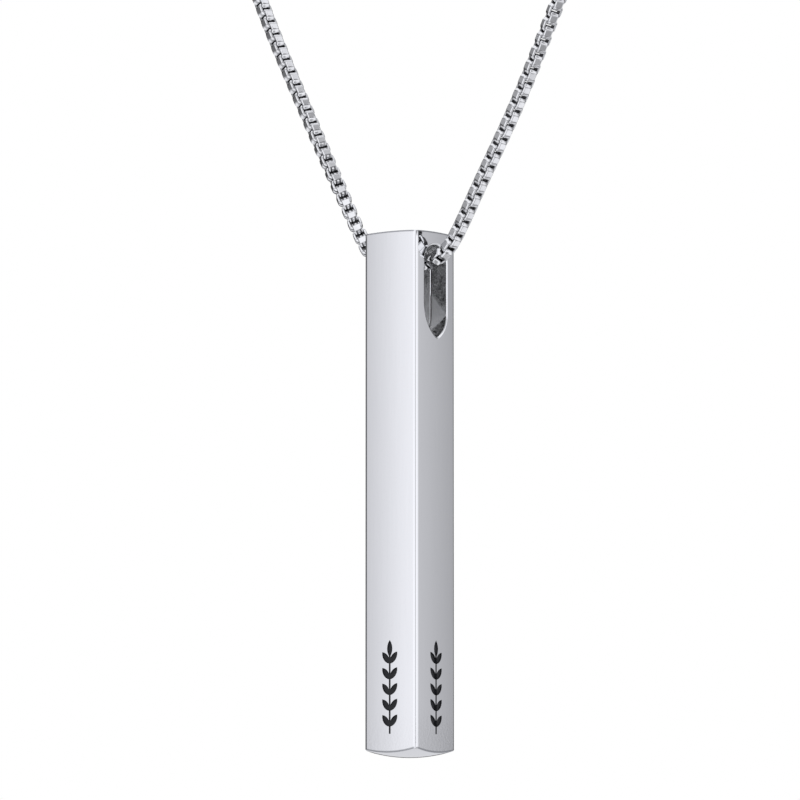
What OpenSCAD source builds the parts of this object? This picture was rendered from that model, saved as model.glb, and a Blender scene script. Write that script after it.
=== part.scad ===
// Bar necklace: a square bar pendant hung through its slot on a fine box chain.
// +Z is up, the front of the bar faces -Y, and the origin lies at the nape of the neck,
// on the inner side of the clasp. Lengths are millimetres.

/* [Bar] */
// Width of each of the four sides of the bar
bar_w = 5; // [4.7:0.1:5.2]
// Height of the bar over both domed ends
bar_h = 40; // [30:1:50]
// Radius of the bar's four long edges
edge_r = 0.3; // [0.1:0.05:0.5]
// Rise of the domed top over its corners
top_rise = 0.15; // [0.1:0.05:0.6]
// Drop of the domed bottom below its corners
bottom_drop = 0.6; // [0.2:0.05:0.8]

/* [Slot] */
// Width of the slot that the chain runs through
slot_w = 2.8; // [2.6:0.1:3.2]
// Height of the slot from its round upper end to its pointed lower end
slot_h = 7.1; // [6:0.1:9]
// Height over which the slot's front side curves in towards the point
front_curve_h = 2.6; // [2.2:0.1:2.8]
// Height over which the slot's back side curves in towards the point
back_curve_h = 1.9; // [1.6:0.1:2.2]
// Distance of the point behind the slot's middle
point_shift = 0.2; // [0:0.05:0.3]
// Metal left above the slot, measured from the top corners
slot_cover = 0.9; // [0.8:0.1:1.5]
// Bevel round both mouths of the slot
slot_bevel = 0.15; // [0.05:0.05:0.3]

/* [Engraving] */
// Height of the engraved leaf sprig
sprig_h = 7.1; // [5:0.1:9]
// Distance of the sprig from the bottom corners
sprig_lift = 1.1; // [0.8:0.1:3]
// Depth of the engraving
sprig_depth = 0.1; // [0.05:0.05:0.3]
// Pairs of leaves on the stem
leaf_pairs = 5; // [3:1:6]
// Length of a leaf
leaf_l = 1.15; // [0.8:0.05:1.3]
// Width of a leaf
leaf_w = 0.5; // [0.3:0.05:0.6]
// Angle of a leaf from the stem
leaf_angle = 38; // [25:1:50]
// Width of the stem
stem_w = 0.16; // [0.08:0.02:0.2]

/* [Chain] */
// Width of the box chain across its flats
chain_w = 1.1; // [0.9:0.05:1.1]
// Room between the lowest link and the ceiling of the slot
chain_sag = 0.9; // [0.6:0.05:0.95]

/* [Clasp] */
// Thickness of the clasp
clasp_t = 1.8; // [1.4:0.1:2.2]
// Radius of the round nose of the clasp
nose_r = 2.4; // [2:0.1:3]
// Radius of the end caps that hold the chain
cap_r = 0.85; // [0.8:0.05:1]
// Length of an end cap
cap_l = 3.6; // [3:0.1:4]

/* [Hidden] */
$fn = 72;

// Right half of the chain's centre line, from the slot up round the neck to the clasp.
// The first eight points lie near the front plane, where the two strands make a V.
HALF_ROUTE = [
    [0, -108, -120.1], [1.5, -108, -120], [2.8, -108, -119.6], [3.85, -107.98, -118.8],
    [4.8, -107.92, -117.4], [6.6, -107.8, -114.2], [10.15, -107.5, -107.8], [14.8, -107.4, -98.6],
    [20.4, -106.4, -86.8], [26.8, -102.2, -73.8], [34, -94, -61], [41.2, -82.8, -49],
    [47.4, -69.6, -37.4], [51.6, -55, -26.6], [52.8, -39.8, -16.8], [50, -25.4, -9],
    [42.2, -12.8, -3.8], [31, -4.4, -1.2], [20.4, -0.4, -0.2], [11.1, 0.9, 0]];
LOW = HALF_ROUTE[0];
CHAIN_END = HALF_ROUTE[len(HALF_ROUTE) - 1];

CHAIN_SIDES = 8;
STEPS = 4;
// The loop lies roughly in one slanted plane, and this is that plane's normal.
LOOP_NORMAL = [0, -0.707, 0.707];

// Height of the lowest leaves, as a share of the spacing between leaf pairs.
FIRST_LEAVES = 0.45;

END_GAP = 0.1;
MARGIN = 0.01;
BEYOND = 1;

half_w = bar_w / 2;
body_h = bar_h - top_rise - bottom_drop;
corner_reach = half_w * sqrt(2);
ceiling_z = LOW[2] + chain_w / 2 + chain_sag;
top_z = ceiling_z + slot_cover;
bottom_z = top_z - body_h;
slot_upper_z = ceiling_z - slot_w / 2;
slot_point_z = ceiling_z - slot_h;

function mirrored(p) = [-p[0], p[1], p[2]];
ROUTE = concat([for (i = [len(HALF_ROUTE) - 1 : -1 : 1]) mirrored(HALF_ROUTE[i])], HALF_ROUTE);
LAST = len(ROUTE) - 1;

// A route point, or the one that a straight run past either end would have.
function route_point(i) =
    i < 0 ? 2 * ROUTE[0] - ROUTE[1] :
    i > LAST ? 2 * ROUTE[LAST] - ROUTE[LAST - 1] :
    ROUTE[i];

// Smooth curve through the route points: t runs from 0 to 1 between points i and i + 1.
function curve(i, t) =
    let (a = route_point(i - 1), b = route_point(i), c = route_point(i + 1), d = route_point(i + 2))
    (2 * b + (c - a) * t + (2 * a - 5 * b + 4 * c - d) * t * t + (3 * b - a - 3 * c + d) * t * t * t) / 2;

PATH = concat([for (i = [0 : LAST - 1]) for (k = [0 : STEPS - 1]) curve(i, k / STEPS)], [ROUTE[LAST]]);
RINGS = len(PATH);

function unit(v) = v / norm(v);
function heading(i) = unit(PATH[min(i + 1, RINGS - 1)] - PATH[max(i - 1, 0)]);

// One ring of the chain's outer form, with its flats square to the loop's plane.
function ring(i, r) =
    let (ahead = heading(i), side = unit(cross(ahead, LOOP_NORMAL)), up = cross(side, ahead))
    [for (k = [0 : CHAIN_SIDES - 1])
        let (angle = (k + 0.5) * 360 / CHAIN_SIDES)
        PATH[i] + r * (cos(angle) * side + sin(angle) * up)];

module rounded_square(w, r) {
    square([w, w - 2 * r], center = true);
    square([w - 2 * r, w], center = true);
    for (x = [-1, 1], y = [-1, 1])
        translate([x * (w / 2 - r), y * (w / 2 - r)])
            circle(r);
}

// What a shallow dome leaves off a flat end: a disc with the dome's hollow in it.
// The rim of the hollow lies at z = 0 and its bottom at z = rise.
module dome_waste(rise) {
    dome_r = (corner_reach * corner_reach + rise * rise) / (2 * rise);
    difference() {
        cylinder(r = corner_reach + BEYOND, h = rise + BEYOND);
        translate([0, 0, rise - dome_r])
            sphere(dome_r);
    }
}

module domed_prism() {
    difference() {
        translate([0, 0, bottom_z - bottom_drop])
            linear_extrude(bar_h)
                rounded_square(bar_w, edge_r);
        translate([0, 0, top_z])
            dome_waste(top_rise);
        translate([0, 0, bottom_z])
            mirror([0, 0, 1])
                dome_waste(bottom_drop);
    }
}

// All that lies on the inner side of the slot's front side. That side is upright above and curves
// in below, over a height and a width, as far as the slot's point.
module slot_side(curve_h, curve_w, depth, bevel) {
    inner = slot_w / 2;
    curve_r = (curve_h * curve_h + curve_w * curve_w) / (2 * curve_w);
    translate([0, curve_r - inner, slot_point_z + curve_h])
        rotate([0, 90, 0])
            cylinder(r1 = curve_r, r2 = curve_r + bevel, h = depth);
    translate([0, 0, slot_point_z + curve_h])
        linear_extrude(slot_upper_z - slot_point_z - curve_h)
            polygon([[0, -inner], [depth, -inner - bevel], [depth, inner + bevel], [0, inner]]);
}

// The slot's form through a depth from x = 0, where it grows by a bevel.
module slot_slab(depth, bevel) {
    inner = slot_w / 2;
    translate([0, 0, slot_upper_z])
        rotate([0, 90, 0])
            cylinder(r1 = inner, r2 = inner + bevel, h = depth);
    intersection() {
        slot_side(front_curve_h, inner + point_shift, depth, bevel);
        mirror([0, 1, 0])
            slot_side(back_curve_h, inner - point_shift, depth, bevel);
    }
}

module slot() {
    length = bar_w + 2 * BEYOND;
    depth = slot_bevel + MARGIN;
    translate([-length / 2, 0, 0])
        slot_slab(length, 0);
    for (side = [0, 1])
        mirror([side, 0, 0])
            translate([half_w - slot_bevel, 0, 0])
                slot_slab(depth, depth);
}

// A pointed leaf between two arcs, standing on its stalk end.
module leaf(l, w) {
    arc_r = (l * l + w * w) / (4 * w);
    translate([0, l / 2])
        intersection() {
            translate([w / 2 - arc_r, 0])
                circle(arc_r);
            translate([arc_r - w / 2, 0])
                circle(arc_r);
        }
}

// Leaf sprig drawn upright, with the foot of its stem at the origin.
module sprig() {
    stem_h = sprig_h - leaf_l;
    pitch = stem_h / leaf_pairs;
    translate([-stem_w / 2, 0])
        square([stem_w, stem_h + MARGIN]);
    for (i = [0 : leaf_pairs - 1], side = [-1, 1])
        translate([0, (i + FIRST_LEAVES) * pitch])
            rotate(side * leaf_angle)
                leaf(leaf_l, leaf_w);
    translate([0, stem_h - stem_w])
        leaf(leaf_l + stem_w, leaf_w);
}

// The sprig as a cutter that faces -Y and reaches the engraving's depth behind y = 0.
module sprig_cutter() {
    translate([0, sprig_depth, bottom_z + sprig_lift])
        rotate([90, 0, 0])
            linear_extrude(sprig_depth + BEYOND)
                sprig();
}

module bar_pendant() {
    color("gainsboro")
        translate([LOW[0], LOW[1], 0])
            difference() {
                domed_prism();
                slot();
                translate([0, -half_w, 0])
                    sprig_cutter();
                translate([half_w, 0, 0])
                    rotate([0, 0, 90])
                        sprig_cutter();
            }
}

// Outer form of the box chain, one closed tube from one end cap to the other.
module chain() {
    r = chain_w / 2 / cos(180 / CHAIN_SIDES);
    color("silver")
        polyhedron(
            points = [for (i = [0 : RINGS - 1]) each ring(i, r)],
            faces = concat(
                [[for (k = [CHAIN_SIDES - 1 : -1 : 0]) k]],
                [for (i = [0 : RINGS - 2]) for (k = [0 : CHAIN_SIDES - 1])
                    let (a = i * CHAIN_SIDES, b = a + CHAIN_SIDES, n = (k + 1) % CHAIN_SIDES)
                    [a + k, a + n, b + n, b + k]],
                [[for (k = [0 : CHAIN_SIDES - 1]) (RINGS - 1) * CHAIN_SIDES + k]]));
}

// Flat outline between two round ends, with its long axis along X.
module tapered_outline(x1, r1, x2, r2) {
    lean = (r1 - r2) / (x2 - x1);
    run = sqrt(1 - lean * lean);
    translate([x1, 0])
        circle(r1);
    translate([x2, 0])
        circle(r2);
    polygon([
        [x1 + r1 * lean, r1 * run], [x2 + r2 * lean, r2 * run],
        [x2 + r2 * lean, -r2 * run], [x1 + r1 * lean, -r1 * run]]);
}

module plate(t) {
    rotate([90, 0, 0])
        linear_extrude(t, center = true)
            children();
}

module clasp() {
    nose_x = 1.2;
    neck_x = -3.2;
    neck_r = 1.3;
    window_x = -2.3;
    claw_w = 1;
    window_r = nose_r - claw_w;
    window_neck_r = 0.5;
    eye_x = -5.3;
    eye_r = 1.2;
    eye_hole_r = 0.5;
    loop_r = 1.7;
    loop_hole_r = 1.05;
    loop_t = 0.8;
    loop_overlap = 0.25;
    loop_x = nose_x + nose_r + loop_r - loop_overlap;
    cap_x = CHAIN_END[0] - END_GAP - cap_l;
    shank_l = 1.2;
    shank_r = 0.4;
    color("silver")
        translate([0, CHAIN_END[1], CHAIN_END[2]]) {
            plate(clasp_t)
                difference() {
                    tapered_outline(neck_x, neck_r, nose_x, nose_r);
                    tapered_outline(window_x, window_neck_r, nose_x, window_r);
                }
            plate(loop_t) {
                difference() {
                    translate([eye_x, 0])
                        circle(eye_r);
                    translate([eye_x, 0])
                        circle(eye_hole_r);
                }
                difference() {
                    translate([loop_x, 0])
                        circle(loop_r);
                    translate([loop_x, 0])
                        circle(loop_hole_r);
                }
            }
            for (side = [0, 1])
                mirror([side, 0, 0])
                    translate([cap_x, 0, 0])
                        rotate([0, 90, 0]) {
                            cylinder(r = cap_r, h = cap_l);
                            translate([0, 0, -shank_l])
                                cylinder(r = shank_r, h = shank_l + MARGIN);
                        }
        }
}

bar_pendant();
chain();
clasp();
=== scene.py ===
"""Looks of the bar necklace: a polished square bar on a box chain, with its clasp at the nape."""
import math

import bmesh
import bpy
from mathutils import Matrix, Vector


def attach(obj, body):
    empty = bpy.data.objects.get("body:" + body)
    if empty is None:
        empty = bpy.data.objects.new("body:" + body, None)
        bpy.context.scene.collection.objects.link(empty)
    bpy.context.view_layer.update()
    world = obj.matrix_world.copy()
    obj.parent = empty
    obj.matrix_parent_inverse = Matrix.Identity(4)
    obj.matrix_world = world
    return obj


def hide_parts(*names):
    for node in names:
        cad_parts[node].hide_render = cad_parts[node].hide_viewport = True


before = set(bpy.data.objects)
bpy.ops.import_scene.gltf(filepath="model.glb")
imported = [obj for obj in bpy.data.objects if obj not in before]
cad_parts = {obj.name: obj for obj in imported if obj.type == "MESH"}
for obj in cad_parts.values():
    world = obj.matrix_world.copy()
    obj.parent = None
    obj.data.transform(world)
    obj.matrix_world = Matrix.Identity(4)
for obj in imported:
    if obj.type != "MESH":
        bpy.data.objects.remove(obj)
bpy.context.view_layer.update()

MM = 0.001

# Sizes of the bar, in millimetres, as the construction has them
BAR_WIDTH = 5.0
BAR_HEIGHT = 40
EDGE_RADIUS = 0.3
TOP_RISE = 0.15
BOTTOM_DROP = 0.6
BODY_HEIGHT = BAR_HEIGHT - TOP_RISE - BOTTOM_DROP
HALF_WIDTH = BAR_WIDTH / 2
CORNER_REACH = HALF_WIDTH * math.sqrt(2)
# Polishing leaves each face leaning back a little at its edges
FACE_LEAN = math.radians(1.2)
HALF_FACE = (
    (HALF_WIDTH - EDGE_RADIUS * (math.cos(FACE_LEAN) - math.sin(FACE_LEAN)))
    / (1 + math.tan(FACE_LEAN / 2)))
CROWN_RADIUS = HALF_FACE / math.sin(FACE_LEAN)
END_BEVEL = 0.07

SLOT_WIDTH = 2.8
SLOT_HEIGHT = 7.1
SLOT_COVER = 0.9
# At its lower end the slot's front and back sides curve in to a point a little behind its middle
FRONT_CURVE_HEIGHT = 2.6
BACK_CURVE_HEIGHT = 1.9
POINT_SHIFT = 0.2
UPPER_ARC_STEPS = 16
CURVE_STEPS = 12
# The polished rim round each mouth
RIM_DEPTH = 0.065
RIM_STEP = 0.025
RIM_WIDTH = 0.148
# The seam within: the slot is narrower up to it, then comes a slope and a groove
SEAM_PLACE = 0.96
SEAM_STEP = 0.045
SEAM_SLOPE = 0.063
GROOVE_DEPTH = 0.03
GROOVE_WIDTH = 0.06

SPRIG_HEIGHT = 7.1
SPRIG_LIFT = 1.1
SPRIG_DEPTH = 0.1
LEAF_PAIRS = 5
LEAF_LENGTH = 1.15
LEAF_WIDTH = 0.5
LEAF_ANGLE = math.radians(38)
STEM_WIDTH = 0.16

# Sizes of a chain link, in millimetres
LINK_WIDTH = 1.075
LINK_LENGTH = 1.05
STRIP_WIDTH = 0.65
STRIP_THICKNESS = 0.215
LINK_CORNER = 0.24
STRIP_EDGE = 0.08
LINK_PLAY = 0.04
LINK_PITCH = LINK_LENGTH - 2 * STRIP_THICKNESS - LINK_PLAY

CHAIN_WIDTH = 1.1
CHAIN_SAG = 0.9
CLASP_BEVEL = 0.16
# Links within this distance of the slot's middle have finer corners
FINE_REACH = 30.0
ROUTE_STEPS = 40

# Right half of the chain's centre line, from the slot up round the neck to the clasp
HALF_ROUTE = [
    (0, -108, -120.1), (1.5, -108, -120), (2.8, -108, -119.6), (3.85, -107.98, -118.8),
    (4.8, -107.92, -117.4), (6.6, -107.8, -114.2), (10.15, -107.5, -107.8), (14.8, -107.4, -98.6),
    (20.4, -106.4, -86.8), (26.8, -102.2, -73.8), (34, -94, -61), (41.2, -82.8, -49),
    (47.4, -69.6, -37.4), (51.6, -55, -26.6), (52.8, -39.8, -16.8), (50, -25.4, -9),
    (42.2, -12.8, -3.8), (31, -4.4, -1.2), (20.4, -0.4, -0.2), (11.1, 0.9, 0)]
LOW_POINT = Vector(HALF_ROUTE[0])
CHAIN_END = Vector(HALF_ROUTE[-1])

# Turn of the links about the chain, in degrees from face-on to the photograph's camera,
# against the distance in millimetres from the slot's middle, with the left strand negative
TWIST = [
    (-230, 54.3), (-125, 54.3), (-60, 57), (-28, 53), (-21, 56), (-17, 61), (-13.5, 67), (-11, 73),
    (-8.5, 85), (-5, 90), (-2, 88), (1.5, 44), (8, 46), (15, 44), (24, 24), (60, 25), (125, 35.7),
    (230, 35.7)]

# The links' attributes: how much painted shade darkens the strip and roughens it, from 0 to 1,
# and the place on it in millimetres, along the link and across the strip, both from the middle
PAINTED_SHADE_ROUGH = "dullness"
REACH = "reach_along_link"
ACROSS = "across_strip"
# Where along the link its bends start
BEND_PLACE = 0.25

CEILING = LOW_POINT.z + CHAIN_WIDTH / 2 + CHAIN_SAG
BAR_TOP = CEILING + SLOT_COVER
BAR_BOTTOM = BAR_TOP - BODY_HEIGHT
SLOT_UPPER = CEILING - SLOT_WIDTH / 2
SLOT_BOTTOM = CEILING - SLOT_HEIGHT
BAR_AXIS = Vector((LOW_POINT.x, LOW_POINT.y, 0))

# The photograph's camera, fitted to the corners and dome edges of the bar
VIEW_AZIMUTH = math.radians(37.2)
VIEW_PITCH = math.radians(5.82)
VIEW_DISTANCE = 571.7
VIEW_SIDESTEP = -0.735
EYE_BELOW_BAR = 31.65
VIEW_LENS = 340.0
TOWARDS_EYE = Vector((math.sin(VIEW_AZIMUTH), -math.cos(VIEW_AZIMUTH), 0))

# Brightness of the studio round the bar, in degrees from the camera: bright panels at the left,
# middle and right, and a dim room behind. The gap between the last two is narrow at the bar's
# own height and wide above and below it.
LEVEL_PANELS = [
    (-180, 0.04), (-140, 0.06), (-124, 0.14), (-114, 0.16), (-104, 0.16), (-92, 0.16), (-83, 0.2),
    (-79, 0.4), (-77.3, 0.63), (-72.3, 0.92), (-62, 1.0), (-3, 1.0), (0, 0.3), (9, 0.3), (12, 1.0),
    (60, 0.97), (90, 0.85), (97, 0.66), (103.7, 0.55), (108.2, 0.42), (115, 0.14), (150, 0.06),
    (180, 0.04)]
TILTED_PANELS = [
    (-180, 0.06), (-160, 0.08), (-142, 0.2), (-125, 0.25), (-108, 0.4), (-95, 0.4), (-78, 0.66),
    (-68, 0.92), (-58, 1.0), (6, 1.0), (18, 0.42), (26, 0.35), (62, 0.35), (76, 0.85), (88, 0.95),
    (97, 0.7), (104, 0.55), (113, 0.4), (125, 0.12), (150, 0.06), (180, 0.06)]
LIGHT_TINT = (0.985, 0.99, 1.03)

BARE_STEEL = (0.97, 0.975, 0.985, 1)

# The floor far below the bar, in millimetres
FLOOR_RADIUS = 1400
FLOOR_PLACE = (0, -60, -340)


class Link:
    """An output socket of a node tree, on which Python's operators add Math nodes."""

    def __init__(self, tree, socket):
        self.tree = tree
        self.socket = socket

    def math(self, operation, *values, **settings):
        return self.tree.add("ShaderNodeMath", {"operation": operation, **settings}, *values)

    def __add__(self, other):
        return self.math("ADD", self, other)

    def __radd__(self, other):
        return self.math("ADD", other, self)

    def __sub__(self, other):
        return self.math("SUBTRACT", self, other)

    def __rsub__(self, other):
        return self.math("SUBTRACT", other, self)

    def __mul__(self, other):
        return self.math("MULTIPLY", self, other)

    def __truediv__(self, other):
        return self.math("DIVIDE", self, other)

    def __mod__(self, other):
        return self.math("MODULO", self, other)

    def absolute(self):
        return self.math("ABSOLUTE", self)

    def at_least(self, value):
        return self.math("MAXIMUM", self, value)

    def clamped(self):
        return self.math("ADD", self, 0.0, use_clamp=True)

    def between(self, low, high):
        """0 below low, 1 above high, and smooth between them."""
        return self.tree.add(
            "ShaderNodeMapRange", {"interpolation_type": "SMOOTHSTEP"},
            Value=self, **{"From Min": low, "From Max": high})

    def compared(self, operation, value):
        return self.tree.add(
            "FunctionNodeCompare", {"data_type": "FLOAT", "operation": operation}, self, value)


class Tree:
    """A shader, world or geometry node tree."""

    def __init__(self, nodes_owner):
        self.tree = nodes_owner
        self.tree.nodes.clear()

    def node(self, kind, settings=None, *values, **named):
        """A new node: its settings first, then the values or links of its sockets."""
        node = self.tree.nodes.new(kind)
        for name, value in (settings or {}).items():
            if name == "stops":
                self.set_stops(node.color_ramp, value)
            else:
                setattr(node, name, value)
        enabled = [s for s in node.inputs if s.enabled]
        for socket, value in zip(enabled, values):
            self.feed(socket, value)
        for name, value in named.items():
            self.feed(next(s for s in enabled if s.name == name), value)
        return node

    def add(self, kind, settings=None, *values, **named):
        """A new node's first enabled output."""
        return self.output(self.node(kind, settings, *values, **named))

    def output(self, node, name=None):
        enabled = [s for s in node.outputs if s.enabled]
        return Link(self, next(s for s in enabled if name in (None, s.name)))

    def feed(self, socket, value):
        if isinstance(value, Link):
            self.tree.links.new(value.socket, socket)
        else:
            socket.default_value = value

    @staticmethod
    def set_stops(ramp, stops):
        while len(ramp.elements) < len(stops):
            ramp.elements.new(1.0)
        for element, (place, colour) in zip(ramp.elements, stops):
            element.position = place
            element.color = colour

    def parts(self, vector):
        """The X, Y and Z of a vector."""
        split = self.node("ShaderNodeSeparateXYZ", None, vector)
        return [self.output(split, name) for name in "XYZ"]

    def mix(self, factor, a, b):
        """Colour b over colour a."""
        return self.add("ShaderNodeMix", {"data_type": "RGBA"}, Factor=factor, A=a, B=b)


def grey(value):
    return (value, value, value, 1)


def new_material(name):
    material = bpy.data.materials.new(name)
    material.use_nodes = True
    return material, Tree(material.node_tree)


def finish_material(tree, **sockets):
    """Joins a Principled shader with these socket values to the material's output."""
    shader = tree.add("ShaderNodeBsdfPrincipled", None, **sockets)
    tree.node("ShaderNodeOutputMaterial", None, Surface=shader)


def place_in_mm(tree):
    """Object coordinates in millimetres, with the bar's lower corners at height 0."""
    place = tree.output(tree.node("ShaderNodeTexCoord"), "Object")
    return tree.add(
        "ShaderNodeMapping", {"vector_type": "POINT"}, place,
        Location=(0, -LOW_POINT.y, -BAR_BOTTOM), Scale=(1000, 1000, 1000))


def noise(tree, place, stretch, scale, detail=3.0, roughness=0.55, distortion=0.0):
    stretched = tree.add(
        "ShaderNodeVectorMath", {"operation": "MULTIPLY"}, place, stretch)
    return tree.add(
        "ShaderNodeTexNoise", None, Vector=stretched, Scale=scale, Detail=detail,
        Roughness=roughness, Distortion=distortion)


def attribute(tree, name):
    """The piece's own attribute of this name."""
    return tree.output(tree.node("ShaderNodeAttribute", {"attribute_name": name}), "Fac")


def end_line(side, front, height):
    """1 along the thin edges where the four faces meet the two domes."""
    share = 1 - (side * side + front * front) / (CORNER_REACH * CORNER_REACH)
    over_bottom = height + share * BOTTOM_DROP
    under_top = BODY_HEIGHT - height + share * TOP_RISE
    outermost = side.absolute().at_least(front.absolute())
    near_face = outermost.between(HALF_WIDTH - END_BEVEL, HALF_WIDTH - 0.03)
    line_end = 0.16
    return near_face * (
        1 - over_bottom.between(END_BEVEL, line_end) * under_top.between(END_BEVEL, line_end))


def make_polished_steel():
    """High polish with fine lengthwise streaks, dark lines along the ends and a rougher foot."""
    material, tree = new_material("polished_steel")
    place = place_in_mm(tree)
    side, front, height = tree.parts(place)
    streaks = noise(tree, place, (1, 1, 0.06), 5.0, detail=4.0)
    haze = noise(tree, place, (1, 1, 0.5), 0.5, detail=2.0)
    speckle = noise(tree, place, (1, 1, 1), 4.5, detail=3.0, roughness=0.7)
    right_face = side.between(HALF_WIDTH - EDGE_RADIUS, HALF_WIDTH - 0.1)
    foot = (1 - height.between(0.3, 3.5)) * (0.3 + right_face * 0.7)
    line = end_line(side, front, height)
    shade = (0.93 + streaks * 0.06 - foot * (speckle * 0.12) - line * 0.75).clamped()
    colour = tree.mix(shade, (0.35, 0.36, 0.38, 1), (0.955, 0.96, 0.98, 1))
    gloss = 0.03 + streaks * 0.03 + foot * (speckle * 0.12) + line * 0.2
    fine = tree.add(
        "ShaderNodeBump", None, Strength=0.05, Distance=0.00002,
        Height=streaks * 0.25 + haze * 0.5 + foot * speckle * 8)
    finish_material(
        tree, **{"Base Color": colour, "Metallic": 1.0, "Roughness": gloss, "Normal": fine})
    return material


def make_cast_wall():
    """Walls of the slot, rough from casting: dark swirls near the mouth, lighter past the seam,
    with painted light and shade near the mouth and along the seam.
    """
    material, tree = new_material("cast_slot_wall")
    place = place_in_mm(tree)
    side, front, height = tree.parts(place)
    depth = side.absolute()
    up = (height - (SLOT_BOTTOM - BAR_BOTTOM)) / SLOT_HEIGHT
    within_seam = 1 - depth.between(SEAM_PLACE - 0.02, SEAM_PLACE + 0.02)
    upper_half = up.between(0.47, 0.51)
    rim_start = HALF_WIDTH - RIM_DEPTH
    rim = depth.between(rim_start - 0.02, rim_start)
    grain = noise(tree, place, (1, 1, 1), 3.4, detail=3.0, roughness=0.6, distortion=1.6)
    swirl = noise(tree, place, (1, 1, 0.7), 1.3, detail=2.0)
    # Near the mouth a tapering patch of painted light lies between a darker upper part
    # and painted shade in the pocket at the bottom
    past_seam = depth - SEAM_PLACE
    ragged = grain - 0.5
    above_pocket_shade = (up - past_seam * 0.12 + ragged * 0.05).between(0.06, 0.09)
    painted_light_patch = above_pocket_shade * (1 - (up + past_seam * 0.16 + ragged * 0.12).between(0.48, 0.53))
    near = 0.2 + above_pocket_shade * 0.25 + painted_light_patch * 0.62
    within = 0.97 - up.between(0.6, 0.72) * 0.45
    mottle = ragged * (2.0 - painted_light_patch * 1.5) + (swirl - 0.5) * 0.5
    tone = near + (within - near) * within_seam + mottle
    # Along the seam runs a painted shade line, with a painted highlight line before it above and
    # behind it below
    seam_shade_line = 1 - (past_seam - upper_half * 0.04).absolute().between(0.025, 0.055)
    low_highlight_line = (1 - (past_seam - 0.14).absolute().between(0.015, 0.045)) * (1 - upper_half)
    seam_highlight_line = (
        (1 - (past_seam + SEAM_SLOPE / 2).absolute().between(0.02, 0.035))
        * upper_half * (0.45 + up.between(0.55, 0.8) * 0.55))
    tone = tone - seam_shade_line * 0.9 + low_highlight_line * 0.45
    # The rim is polished; the seam's painted highlight line gets the same bare, glossier steel
    polished = rim.at_least(seam_highlight_line)
    colour = tree.mix(tone.clamped(), grey(0.06), BARE_STEEL)
    colour = tree.mix(polished, colour, BARE_STEEL)
    gloss = 0.42 - polished * 0.26
    bump = tree.add(
        "ShaderNodeBump", None, Strength=0.6, Distance=0.00006,
        Height=(grain + swirl) * (1 - polished))
    finish_material(
        tree, **{"Base Color": colour, "Metallic": 1.0, "Roughness": gloss, "Normal": bump})
    return material


def make_engraving_fill():
    """Black left in the engraving, dull and slightly uneven."""
    material, tree = new_material("engraving_black")
    place = place_in_mm(tree)
    grain = noise(tree, place, (1, 1, 1), 9.0)
    colour = tree.mix(grain, (0.006, 0.006, 0.008, 1), (0.03, 0.031, 0.035, 1))
    finish_material(
        tree, **{"Base Color": colour, "Roughness": 0.45 + grain * 0.2, "Specular IOR Level": 0.3})
    return material


def make_chain_steel():
    """Bright rolled strip with a little grain, darkened by painted shade and made rougher inside
    the links, on their ends, where their plates curve and beside the bar.
    """
    material, tree = new_material("chain_steel")
    place = place_in_mm(tree)
    side, _, _ = tree.parts(place)
    grain = noise(tree, place, (1, 1, 1), 6.0, detail=3.0)
    patches = noise(tree, place, (1, 1, 1), 1.1, detail=1.0)
    reach = attribute(tree, REACH).absolute()
    across = attribute(tree, ACROSS).absolute()
    # Where each plate starts to curve, a thin line of painted shade crosses it
    bend_shade_line = 1 - (reach - BEND_PLACE).absolute().between(0.02, 0.05)
    shade_and_roughness = attribute(tree, PAINTED_SHADE_ROUGH).at_least(bend_shade_line * 0.4)
    # Beside the bar the right strand gets painted shade on the side that faces it
    facing, _, _ = tree.parts(tree.output(tree.node("ShaderNodeNewGeometry"), "Normal"))
    right_strand = side.between(HALF_WIDTH - 0.5, HALF_WIDTH) * (1 - side.between(7, 9))
    shade_and_roughness = shade_and_roughness.at_least(right_strand * (0 - facing).between(0.45, 0.75) * 0.95)
    # Where the left strand shows its links from the front, they get short lines of painted shade
    # beside their bends
    left_strand = side.between(-9.5, -7.5) * (1 - side.between(-HALF_WIDTH, 0))
    shade_strokes = (
        across.between(0.06, 0.1) * (1 - across.between(0.2, 0.25)) * reach.between(0.22, 0.26))
    shade_and_roughness = shade_and_roughness.at_least(left_strand * shade_strokes * 0.85)
    colour = tree.mix(
        (grain * 0.5 + patches * 0.5).between(0.3, 0.7),
        (0.84, 0.845, 0.855, 1), (0.96, 0.965, 0.975, 1))
    # Where painted shade lies, the strip turns near black and rougher
    colour = tree.mix(shade_and_roughness, colour, (0.04, 0.04, 0.045, 1))
    bump = tree.add(
        "ShaderNodeBump", None, Strength=0.06, Distance=0.00002, Height=grain)
    finish_material(
        tree, **{
            "Base Color": colour, "Metallic": 1.0, "Roughness": 0.08 + grain * 0.08 + shade_and_roughness * 0.3,
            "Normal": bump})
    return material


def make_clasp_steel():
    material, tree = new_material("clasp_steel")
    place = place_in_mm(tree)
    grain = noise(tree, place, (0.3, 1, 1), 5.0)
    colour = tree.mix(grain, (0.8, 0.805, 0.815, 1), (0.93, 0.935, 0.945, 1))
    finish_material(
        tree, **{"Base Color": colour, "Metallic": 1.0, "Roughness": 0.12 + grain * 0.08})
    return material


def make_floor_white():
    material, tree = new_material("floor_white")
    finish_material(tree, **{"Base Color": (0.86, 0.86, 0.87, 1), "Roughness": 0.8})
    return material


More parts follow.
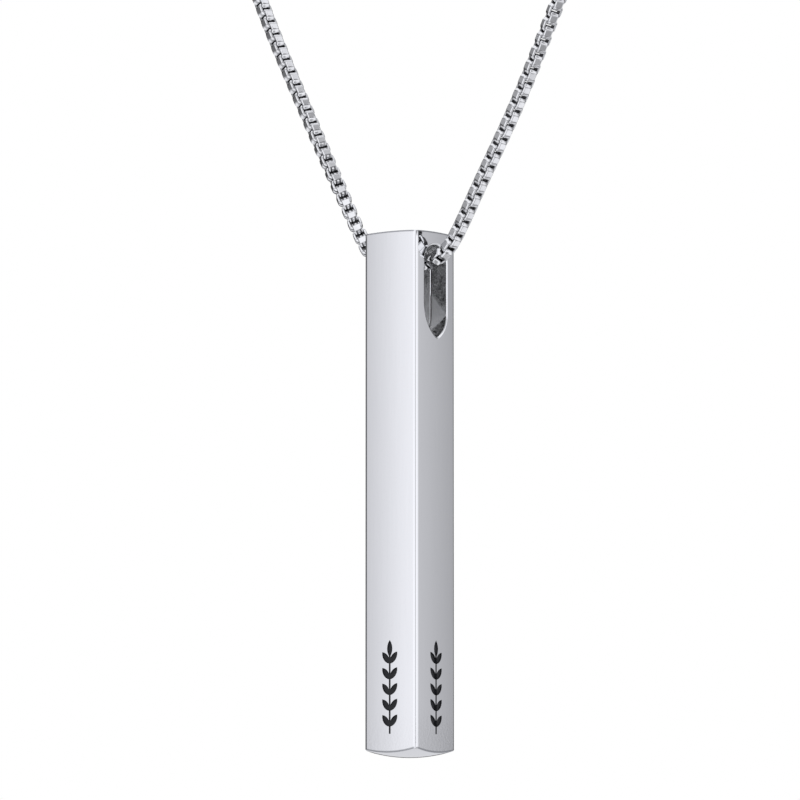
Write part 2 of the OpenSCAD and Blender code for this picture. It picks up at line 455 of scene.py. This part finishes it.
def new_piece(name, mesh_maker, material):
    """A new object at the origin whose mesh comes from a bmesh that mesh_maker fills, in mm."""
    bm = bmesh.new()
    mesh_maker(bm)
    bmesh.ops.scale(bm, vec=(MM, MM, MM), verts=bm.verts)
    bmesh.ops.recalc_face_normals(bm, faces=bm.faces)
    mesh = bpy.data.meshes.new(name)
    bm.to_mesh(mesh)
    bm.free()
    mesh.materials.append(material)
    piece = bpy.data.objects.new(name, mesh)
    bpy.context.scene.collection.objects.link(piece)
    return piece


def apply_modifiers(piece):
    """Turns the piece's modifiers into its plain mesh."""
    graph = bpy.context.evaluated_depsgraph_get()
    mesh = bpy.data.meshes.new_from_object(piece.evaluated_get(graph), depsgraph=graph)
    mesh.name = piece.name
    piece.modifiers.clear()
    piece.data = mesh


def bevel_edges(piece, degrees, width):
    """Rounds each edge sharper than the angle."""
    bevel = piece.modifiers.new("edges", "BEVEL")
    bevel.limit_method = "ANGLE"
    bevel.angle_limit = math.radians(degrees)
    bevel.width = width * MM
    bevel.segments = 3
    apply_modifiers(piece)


def loft(bm, rings, closed_ends=True):
    """Quads between rings of points, with a face on both ends unless these stay open."""
    made = [[bm.verts.new(p) for p in ring] for ring in rings]
    for low, high in zip(made, made[1:]):
        for i in range(len(low)):
            j = (i + 1) % len(low)
            bm.faces.new((low[i], low[j], high[j], high[i]))
    if closed_ends:
        bm.faces.new(list(reversed(made[0])))
        bm.faces.new(made[-1])
    return made


def crowned_square():
    """The bar's cross-section: four shallow arcs joined by small round corners."""
    points = []
    side_steps, corner_steps = 10, 8
    for quarter in range(4):
        turn = quarter * math.pi / 2
        side = []
        for k in range(side_steps + 1):
            angle = FACE_LEAN * (2 * k / side_steps - 1)
            side.append((
                HALF_WIDTH - CROWN_RADIUS * (1 - math.cos(angle)), CROWN_RADIUS * math.sin(angle)))
        # The corner turns from the end of this face to the start of the next one
        centre = HALF_FACE - EDGE_RADIUS * math.sin(FACE_LEAN)
        for k in range(1, corner_steps):
            angle = FACE_LEAN + (math.pi / 2 - 2 * FACE_LEAN) * k / corner_steps
            side.append((
                centre + EDGE_RADIUS * math.cos(angle), centre + EDGE_RADIUS * math.sin(angle)))
        points += [(
            x * math.cos(turn) - y * math.sin(turn), x * math.sin(turn) + y * math.cos(turn))
            for x, y in side]
    return points


def dome_height(x, y, rise):
    """Height over the corners of a shallow dome that falls to 0 at the bar's corners."""
    radius = (CORNER_REACH * CORNER_REACH + rise * rise) / (2 * rise)
    return math.sqrt(radius * radius - x * x - y * y) - (radius - rise)


def fill_bar(bm):
    outline = crowned_square()
    dome_rings = (0.15, 0.3, 0.45, 0.6, 0.75, 0.88)

    def ring(scale, base, rise, sign):
        return [
            BAR_AXIS + Vector((x, y, base + sign * dome_height(x, y, rise)))
            for x, y in ((x * scale, y * scale) for x, y in outline)]

    bottom = [ring(s, BAR_BOTTOM, BOTTOM_DROP, -1) for s in (*dome_rings, 1.0)]
    top = [ring(s, BAR_TOP, TOP_RISE, 1) for s in (1.0, *reversed(dome_rings))]
    wall_heights = (0.6, 8.5, 18, 28, BODY_HEIGHT - 0.6)
    walls = [
        [BAR_AXIS + Vector((x, y, BAR_BOTTOM + height)) for x, y in outline]
        for height in wall_heights]
    rings = loft(bm, bottom + walls + top, closed_ends=False)
    for last, apex in ((rings[0], BAR_BOTTOM - BOTTOM_DROP), (rings[-1], BAR_TOP + TOP_RISE)):
        pole = bm.verts.new(BAR_AXIS + Vector((0, 0, apex)))
        for i in range(len(last)):
            bm.faces.new((last[i], last[(i + 1) % len(last)], pole))


def fill_slot_cutter(bm):
    """The slot as a solid: round above, pointed below, with bevelled mouths and a step within."""
    half = SLOT_WIDTH / 2
    front_r, back_r = (
        (height * height + width * width) / (2 * width)
        for height, width in (
            (FRONT_CURVE_HEIGHT, half + POINT_SHIFT), (BACK_CURVE_HEIGHT, half - POINT_SHIFT)))
    front = Vector((front_r - half, SLOT_BOTTOM + FRONT_CURVE_HEIGHT))
    back = Vector((half - back_r, SLOT_BOTTOM + BACK_CURVE_HEIGHT))

    def outline(x, growth):
        # The two arcs meet below the line between their centres
        front_reach, back_reach = front_r + growth, back_r + growth
        apart = back - front
        along = (apart.length_squared + front_reach ** 2 - back_reach ** 2) / (2 * apart.length)
        below = math.sqrt(front_reach ** 2 - along ** 2)
        ahead = apart.normalized()
        point = front + ahead * along + Vector((-ahead.y, ahead.x)) * below
        front_angle = math.atan2(point.y - front.y, point.x - front.x) % (2 * math.pi)
        back_angle = math.atan2(point.y - back.y, point.x - back.x) % (2 * math.pi)
        ring = []
        # The back arc leaves out its first point, which ends the front arc
        for centre, radius, start, end, steps, first in (
                (Vector((0, SLOT_UPPER)), half + growth, 0, math.pi, UPPER_ARC_STEPS, 0),
                (front, front_reach, math.pi, front_angle, CURVE_STEPS, 0),
                (back, back_reach, back_angle, 2 * math.pi, CURVE_STEPS, 1)):
            for k in range(first, steps + 1):
                angle = start + (end - start) * k / steps
                ring.append(BAR_AXIS + Vector((
                    x, centre.x + radius * math.cos(angle), centre.y + radius * math.sin(angle))))
        return ring

    # Place from the bar's middle and growth of the slot there, for the right half
    right = [
        (0, -SEAM_STEP),
        (SEAM_PLACE - SEAM_SLOPE, -SEAM_STEP),
        (SEAM_PLACE, GROOVE_DEPTH),
        (SEAM_PLACE + GROOVE_WIDTH, GROOVE_DEPTH),
        (SEAM_PLACE + 2 * GROOVE_WIDTH, 0),
        (HALF_WIDTH - RIM_DEPTH, 0),
        (HALF_WIDTH - RIM_DEPTH + RIM_STEP, RIM_STEP),
        (HALF_WIDTH + RIM_DEPTH - RIM_STEP, 2 * RIM_WIDTH - RIM_STEP)]
    profile = [(-x, growth) for x, growth in reversed(right[1:])] + right
    loft(bm, [outline(x, growth) for x, growth in profile])


def leaf_outline(length, width):
    """A pointed leaf between two arcs, standing on its stalk end at the origin."""
    radius = (length * length + width * width) / (4 * width)
    reach = math.asin(length / 2 / radius)
    steps = 6
    right = []
    for k in range(steps + 1):
        angle = -reach + 2 * reach * k / steps
        right.append((
            width / 2 - radius * (1 - math.cos(angle)), length / 2 + radius * math.sin(angle)))
    return right + [(-x, y) for x, y in reversed(right[1:-1])]


def sprig_outlines():
    """The closed outlines of the leaf sprig, with the foot of its stem at the origin."""
    stem_height = SPRIG_HEIGHT - LEAF_LENGTH
    pitch = stem_height / LEAF_PAIRS
    half = STEM_WIDTH / 2
    outlines = [[(-half, 0), (half, 0), (half, stem_height), (-half, stem_height)]]
    leaf = leaf_outline(LEAF_LENGTH, LEAF_WIDTH)
    for i in range(LEAF_PAIRS):
        for side in (-1, 1):
            c, s = math.cos(side * LEAF_ANGLE), math.sin(side * LEAF_ANGLE)
            foot = (i + 0.45) * pitch
            outlines.append([(x * c - y * s, foot + x * s + y * c) for x, y in leaf])
    end_leaf = leaf_outline(LEAF_LENGTH + STEM_WIDTH, LEAF_WIDTH)
    outlines.append([(x, y + stem_height - STEM_WIDTH) for x, y in end_leaf])
    return outlines


def sprig_cutter(name, turn, fill):
    """The sprig as a solid on the bar's front face, turned about the bar by an angle."""
    foot = BAR_BOTTOM + SPRIG_LIFT
    beyond_face = 0.3
    c, s = math.cos(turn), math.sin(turn)

    def place(x, y, z):
        return BAR_AXIS + Vector((x * c - y * s, x * s + y * c, foot + z))

    def fill_sprig(bm):
        for outline in sprig_outlines():
            loft(bm, [
                [place(x, depth, z) for x, z in outline]
                for depth in (-HALF_WIDTH + SPRIG_DEPTH, -HALF_WIDTH - beyond_face)])

    return new_piece(name, fill_sprig, fill)


def cut(piece, cutter):
    """Takes the cutter out of the piece. The cut faces keep the cutter's material."""
    boolean = piece.modifiers.new("cut", "BOOLEAN")
    boolean.operation = "DIFFERENCE"
    boolean.solver = "EXACT"
    boolean.use_self = True
    boolean.material_mode = "TRANSFER"
    boolean.object = cutter
    apply_modifiers(piece)
    bpy.data.objects.remove(cutter)


def shade_by_angle(mesh, degrees):
    """Smooth shading, with a crease at each edge sharper than the angle."""
    mesh.shade_smooth()
    bm = bmesh.new()
    bm.from_mesh(mesh)
    for edge in bm.edges:
        edge.smooth = len(edge.link_faces) == 2 and edge.calc_face_angle(0) < math.radians(degrees)
    bm.to_mesh(mesh)
    bm.free()


def lay_face_normals(mesh):
    """Gives the four sides the normals of their shallow crown, whatever faces the cuts left."""
    square_on = 0.995
    normals = [Vector(n.vector) for n in mesh.corner_normals]
    for face in mesh.polygons:
        if face.material_index != 0:
            continue
        x, y, _ = face.normal
        for corner in face.loop_indices:
            spot = mesh.vertices[mesh.loops[corner].vertex_index].co / MM - BAR_AXIS
            if abs(x) > square_on:
                lean = spot.y / CROWN_RADIUS
                normals[corner] = Vector((math.copysign(1, x), lean, 0)).normalized()
            elif abs(y) > square_on:
                lean = spot.x / CROWN_RADIUS
                normals[corner] = Vector((lean, math.copysign(1, y), 0)).normalized()
    mesh.normals_split_custom_set(normals)


def make_bar():
    polished, wall, fill = make_polished_steel(), make_cast_wall(), make_engraving_fill()
    bar = new_piece("bar_pendant_polished", fill_bar, polished)
    bevel_edges(bar, degrees=40, width=END_BEVEL)
    cut(bar, new_piece("slot_cutter", fill_slot_cutter, wall))
    cut(bar, sprig_cutter("front_sprig", 0, fill))
    cut(bar, sprig_cutter("right_sprig", math.pi / 2, fill))
    shade_by_angle(bar.data, degrees=32)
    lay_face_normals(bar.data)
    return bar


def route_point(route, i):
    """A route point, or the one that a straight run past either end would have."""
    if i < 0:
        return 2 * route[0] - route[1]
    if i >= len(route):
        return 2 * route[-1] - route[-2]
    return route[i]


def smooth_route(steps):
    """The chain's centre line as closely spaced points, from the left end cap to the right one."""
    half = [Vector(p) for p in HALF_ROUTE]
    route = [Vector((-p.x, p.y, p.z)) for p in reversed(half[1:])] + half
    points = []
    for i in range(len(route) - 1):
        a, b, c, d = (route_point(route, i + k) for k in (-1, 0, 1, 2))
        for k in range(steps):
            t = k / steps
            points.append((
                2 * b + (c - a) * t + (2 * a - 5 * b + 4 * c - d) * t * t
                + (3 * b - a - 3 * c + d) * t * t * t) / 2)
    points.append(route[-1])
    return points


def twist_at(distance):
    """The links' turn in radians at this distance, with smooth steps between the rows of TWIST."""
    for (a, twist_a), (b, twist_b) in zip(TWIST, TWIST[1:]):
        if distance <= b:
            t = (distance - a) / (b - a)
            t = t * t * (3 - 2 * t)
            return math.radians(twist_a + (twist_b - twist_a) * t)
    return math.radians(TWIST[-1][1])


def make_chain_path():
    """A mesh line along the chain's centre line, with its distance from the slot and its twist."""
    points = smooth_route(ROUTE_STEPS)
    distances = [0.0]
    for a, b in zip(points, points[1:]):
        distances.append(distances[-1] + (b - a).length)
    length = distances[-1]
    mesh = bpy.data.meshes.new("chain_path")
    mesh.from_pydata([p * MM for p in points], [(i, i + 1) for i in range(len(points) - 1)], [])
    from_slot = mesh.attributes.new("from_slot", "FLOAT", "POINT")
    twist = mesh.attributes.new("twist", "FLOAT", "POINT")
    for i, distance in enumerate(distances):
        from_slot.data[i].value = abs(distance - length / 2)
        twist.data[i].value = twist_at(distance - length / 2)
    path = bpy.data.objects.new("box_chain", mesh)
    bpy.context.scene.collection.objects.link(path)
    return path, length


CHAIN_INPUTS = (
    ("Links", "NodeSocketInt"),
    ("Link width", "NodeSocketFloat"),
    ("Link length", "NodeSocketFloat"),
    ("Strip width", "NodeSocketFloat"),
    ("Strip thickness", "NodeSocketFloat"),
    ("Corner radius", "NodeSocketFloat"),
    ("Strip edge", "NodeSocketFloat"),
    ("Fine reach", "NodeSocketFloat"),
    ("Face towards", "NodeSocketVector"),
    ("Metal", "NodeSocketMaterial"))


def keep_value(tree, geometry, name, value):
    """The geometry with an attribute that holds this value at each point."""
    return tree.add(
        "GeometryNodeStoreNamedAttribute", {"data_type": "FLOAT", "domain": "POINT"},
        Geometry=geometry, Name=name, Value=value)


def link_shape(tree, inputs, corner_steps, edge_steps):
    """One link: a rounded rectangular loop of flat strip, its long way along Z and open along Y."""
    loop = tree.add(
        "GeometryNodeCurvePrimitiveQuadrilateral", {"mode": "RECTANGLE"},
        Width=inputs["Link width"] - inputs["Strip thickness"],
        Height=inputs["Link length"] - inputs["Strip thickness"])
    loop = tree.add(
        "GeometryNodeFilletCurve", {"mode": "POLY"}, Curve=loop,
        Count=corner_steps, Radius=inputs["Corner radius"])
    strip = tree.add(
        "GeometryNodeCurvePrimitiveQuadrilateral", {"mode": "RECTANGLE"},
        Width=inputs["Strip thickness"], Height=inputs["Strip width"])
    strip = tree.add(
        "GeometryNodeFilletCurve", {"mode": "POLY"}, Curve=strip, Count=edge_steps,
        Radius=inputs["Strip edge"])
    link = tree.add("GeometryNodeCurveToMesh", None, Curve=loop, **{"Profile Curve": strip})
    # The inside of the loop and the outside of its two ends get painted shade and a rougher finish.
    # The strip's side edges, whose normals lean into the loop a little or not at all, are polished.
    facing_right, facing_ahead, _ = tree.parts(tree.add("GeometryNodeInputNormal"))
    right, ahead, beside = tree.parts(tree.add("GeometryNodeInputPosition"))
    inside = (facing_right * right + facing_ahead * ahead).compared("LESS_THAN", -0.25 * MM)
    end_face = facing_ahead.absolute().between(0.94, 1.0)
    link = keep_value(tree, link, PAINTED_SHADE_ROUGH, end_face.at_least(inside * 0.9))
    link = keep_value(tree, link, REACH, ahead / MM)
    link = keep_value(tree, link, ACROSS, beside / MM)
    rounded = facing_right.absolute().compared("LESS_THAN", 0.999)
    link = tree.add(
        "GeometryNodeSetShadeSmooth", {"domain": "FACE"}, link, **{"Shade Smooth": rounded})
    return tree.add(
        "GeometryNodeTransform", None, Geometry=link, Rotation=(math.pi / 2, 0, 0))


def make_chain_tree():
    """Links along a path: every second one is turned a quarter about the chain."""
    group = bpy.data.node_groups.new("box_chain_links", "GeometryNodeTree")
    tree = Tree(group)
    group.interface.new_socket("Geometry", in_out="INPUT", socket_type="NodeSocketGeometry")
    group.interface.new_socket("Geometry", in_out="OUTPUT", socket_type="NodeSocketGeometry")
    for name, kind in CHAIN_INPUTS:
        group.interface.new_socket(name, in_out="INPUT", socket_type=kind)
    source = tree.node("NodeGroupInput")
    inputs = {s.name: Link(tree, s) for s in source.outputs if s.name}

    curve = tree.add("GeometryNodeMeshToCurve", None, inputs["Geometry"])
    curve = tree.add(
        "GeometryNodeResampleCurve", {"mode": "COUNT"}, Curve=curve, Count=inputs["Links"])
    ahead = tree.add("GeometryNodeInputTangent")
    twist = tree.add("GeometryNodeInputNamedAttribute", {"data_type": "FLOAT"}, "twist")
    from_slot = tree.add("GeometryNodeInputNamedAttribute", {"data_type": "FLOAT"}, "from_slot")
    quarter = (tree.add("GeometryNodeInputIndex") % 2.0) * (math.pi / 2)
    facing = tree.add(
        "FunctionNodeAxesToRotation", {"primary_axis": "Z", "secondary_axis": "Y"},
        ahead, inputs["Face towards"])
    turn = tree.add(
        "FunctionNodeAxisAngleToRotation", None, Axis=(0, 0, 1), Angle=twist + quarter)
    rotation = tree.add(
        "FunctionNodeRotateRotation", {"rotation_space": "LOCAL"}, facing, turn)
    near = from_slot.compared("LESS_THAN", inputs["Fine reach"])
    far = from_slot.compared("GREATER_EQUAL", inputs["Fine reach"])
    parts = []
    for wanted, corner_steps, edge_steps in ((near, 4, 2), (far, 1, 1)):
        parts.append(tree.add(
            "GeometryNodeInstanceOnPoints", None, Points=curve, Selection=wanted,
            Instance=link_shape(tree, inputs, corner_steps, edge_steps), Rotation=rotation))
    joined = tree.node("GeometryNodeJoinGeometry")
    for part in parts:
        group.links.new(part.socket, joined.inputs[0])
    plain = tree.add("GeometryNodeRealizeInstances", None, tree.output(joined))
    plain = tree.add("GeometryNodeSetMaterial", None, plain, Material=inputs["Metal"])
    tree.node("NodeGroupOutput", None, plain)
    return group


def make_chain():
    chain, length = make_chain_path()
    values = {
        "Links": int(length / LINK_PITCH),
        "Link width": LINK_WIDTH * MM,
        "Link length": LINK_LENGTH * MM,
        "Strip width": STRIP_WIDTH * MM,
        "Strip thickness": STRIP_THICKNESS * MM,
        "Corner radius": LINK_CORNER * MM,
        "Strip edge": STRIP_EDGE * MM,
        "Fine reach": FINE_REACH,
        "Face towards": TOWARDS_EYE,
        "Metal": make_chain_steel()}
    group = make_chain_tree()
    modifier = chain.modifiers.new("links", "NODES")
    modifier.node_group = group
    for item in group.interface.items_tree:
        if item.in_out == "INPUT" and item.name in values:
            modifier[item.identifier] = values[item.name]
    apply_modifiers(chain)
    return chain


def fill_clasp(bm):
    """A flat claw with an eye at its neck and a ring at its nose, between two end caps."""
    nose_x, nose_r, neck_x, neck_r, claw_thickness = 1.2, 2.4, -3.2, 1.3, 1.8
    window = (neck_x + 0.9, 0.5, nose_x, nose_r - 1)
    eye_x, eye_r, eye_hole_r = -5.3, 1.2, 0.5
    ring_x, ring_r, ring_hole_r = 5.05, 1.7, 1.05
    ring_thickness = 0.8
    cap_in, cap_out, cap_r, shank_r = 7.4, CHAIN_END.x - 0.1, 0.85, 0.4
    steps = 24

    def spot(x, depth, height):
        return Vector((x, CHAIN_END.y + depth, CHAIN_END.z + height))

    def tapered(x1, r1, x2, r2):
        """The outline round two circles of different size."""
        lean = math.asin((r1 - r2) / (x2 - x1))
        right = math.pi / 2 - lean
        points = []
        for centre, radius, start, end in (
                (x2, r2, -right, right), (x1, r1, right, 2 * math.pi - right)):
            for k in range(steps + 1):
                angle = start + (end - start) * k / steps
                points.append((centre + radius * math.cos(angle), radius * math.sin(angle)))
        return points

    def flat_ring(outer, inner, thickness):
        loops = [
            [bm.verts.new(spot(x, side * thickness / 2, height)) for x, height in outline]
            for outline, side in ((outer, -1), (outer, 1), (inner, 1), (inner, -1))]
        for a, b in zip(loops, loops[1:] + loops[:1]):
            for i in range(len(a)):
                j = (i + 1) % len(a)
                bm.faces.new((a[i], a[j], b[j], b[i]))

    def circle(x, radius, count):
        angles = [2 * math.pi * k / count for k in range(count)]
        return [(x + radius * math.cos(a), radius * math.sin(a)) for a in angles]

    def lathe(profile):
        loft(bm, [
            [spot(x, depth, height) for depth, height in circle(0, radius, steps)]
            for x, radius in profile])

    flat_ring(tapered(neck_x, neck_r, nose_x, nose_r), tapered(*window), claw_thickness)
    for x, radius, hole_radius in ((eye_x, eye_r, eye_hole_r), (ring_x, ring_r, ring_hole_r)):
        flat_ring(circle(x, radius, 2 * steps), circle(x, hole_radius, 2 * steps), ring_thickness)
    # From the shank outwards: a round shoulder, a groove and a round end where the chain goes in
    cap_profile = [
        (cap_in - 1.2, shank_r), (cap_in - 0.1, shank_r), (cap_in, 0.6), (cap_in + 0.15, 0.78),
        (cap_in + 0.35, cap_r), (cap_in + 1.2, cap_r), (cap_in + 1.3, cap_r - 0.08),
        (cap_in + 1.4, cap_r), (cap_out - 0.15, cap_r), (cap_out - 0.04, cap_r - 0.05),
        (cap_out, cap_r - 0.15)]
    for side in (-1, 1):
        lathe([(side * x, radius) for x, radius in cap_profile])


def make_clasp():
    clasp = new_piece("plain_clasp", fill_clasp, make_clasp_steel())
    bevel_edges(clasp, degrees=50, width=CLASP_BEVEL)
    shade_by_angle(clasp.data, degrees=35)
    return clasp


def make_floor():
    def fill_floor(bm):
        bmesh.ops.create_circle(bm, cap_ends=True, segments=96, radius=FLOOR_RADIUS)
        bmesh.ops.translate(bm, verts=bm.verts, vec=FLOOR_PLACE)

    return new_piece("floor", fill_floor, make_floor_white())


def light_world():
    """White to the eye. Reflections see bright panels on the camera's side and a dim back."""
    world = bpy.data.worlds.new("soft_studio")
    bpy.context.scene.world = world
    world.use_nodes = True
    tree = Tree(world.node_tree)
    direction = tree.output(tree.node("ShaderNodeTexCoord"), "Generated")
    turned = tree.add(
        "ShaderNodeVectorRotate", {"rotation_type": "Z_AXIS"},
        Vector=direction, Angle=-VIEW_AZIMUTH)
    right, ahead, up = tree.parts(turned)
    # Degrees round the bar from the photograph's camera, with its right side positive
    round_bar = right.math("ARCTAN2", right, 0 - ahead) * (180 / math.pi)
    level, tilted = (
        tree.add(
            "ShaderNodeValToRGB",
            {"stops": [((degrees + 180) / 360, grey(value)) for degrees, value in panels]},
            round_bar / 360 + 0.5)
        for panels in (LEVEL_PANELS, TILTED_PANELS))
    surroundings = tree.mix(up.absolute().between(0.15, 0.35), level, tilted)
    # A bright ceiling and, beyond the bar, a lit table with a brighter patch low at the left
    overhead = (up + ahead.at_least(0.0) * 0.6).between(0.87, 0.95).at_least(up.between(0.8, 0.87))
    down, left = 0 - up, 0 - right
    low_left = down.between(0.24, 0.34) * left.between(0.3, 0.42) * ahead.between(0.12, 0.22)
    underfoot = down.between(0.08, 0.16) * ahead.between(0.2, 0.5)
    surroundings = tree.mix(overhead, surroundings, grey(0.95))
    surroundings = tree.mix(underfoot, surroundings, grey(0.7))
    surroundings = tree.mix(low_left, surroundings, grey(0.85))
    surroundings = tree.add(
        "ShaderNodeVectorMath", {"operation": "MULTIPLY"}, surroundings, LIGHT_TINT)
    path = tree.node("ShaderNodeLightPath")
    surroundings = tree.mix(tree.output(path, "Is Diffuse Ray"), surroundings, grey(0.8))
    colour = tree.mix(tree.output(path, "Is Camera Ray"), surroundings, grey(1.0))
    background = tree.add("ShaderNodeBackground", None, Color=colour, Strength=1.0)
    tree.node("ShaderNodeOutputWorld", None, Surface=background)


def add_softbox(name, place, target, size, watts):
    lamp = bpy.data.lights.new(name, "AREA")
    lamp.shape = "SQUARE"
    lamp.size = size
    lamp.energy = watts
    box = bpy.data.objects.new(name, lamp)
    box.location = place
    box.rotation_euler = (Vector(target) - Vector(place)).to_track_quat("-Z", "Y").to_euler()
    box.visible_glossy = False
    bpy.context.scene.collection.objects.link(box)


def add_camera():
    across = Vector((math.cos(VIEW_AZIMUTH), math.sin(VIEW_AZIMUTH), 0))
    eye = BAR_AXIS + TOWARDS_EYE * VIEW_DISTANCE + across * VIEW_SIDESTEP
    eye.z = BAR_BOTTOM - EYE_BELOW_BAR
    lens = bpy.data.cameras.new("camera")
    lens.lens = VIEW_LENS
    lens.sensor_width = 36
    lens.clip_start = 0.05
    lens.clip_end = 10
    camera = bpy.data.objects.new("camera", lens)
    camera.location = eye * MM
    camera.rotation_euler = (math.pi / 2 + VIEW_PITCH, 0, VIEW_AZIMUTH)
    bpy.context.scene.collection.objects.link(camera)
    bpy.context.scene.camera = camera


add_camera()
light_world()
add_softbox("overhead", place=(0.2, -0.3, 0.7), target=(0, -0.1, -0.1), size=0.6, watts=3)
bpy.context.scene.view_settings.view_transform = "Standard"

bar = make_bar()
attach(bar, "pendant")
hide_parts("bar_pendant")

chain = make_chain()
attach(chain, "necklace")
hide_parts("chain")

clasp = make_clasp()
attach(clasp, "necklace")
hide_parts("clasp")

floor = make_floor()
floor.visible_glossy = False
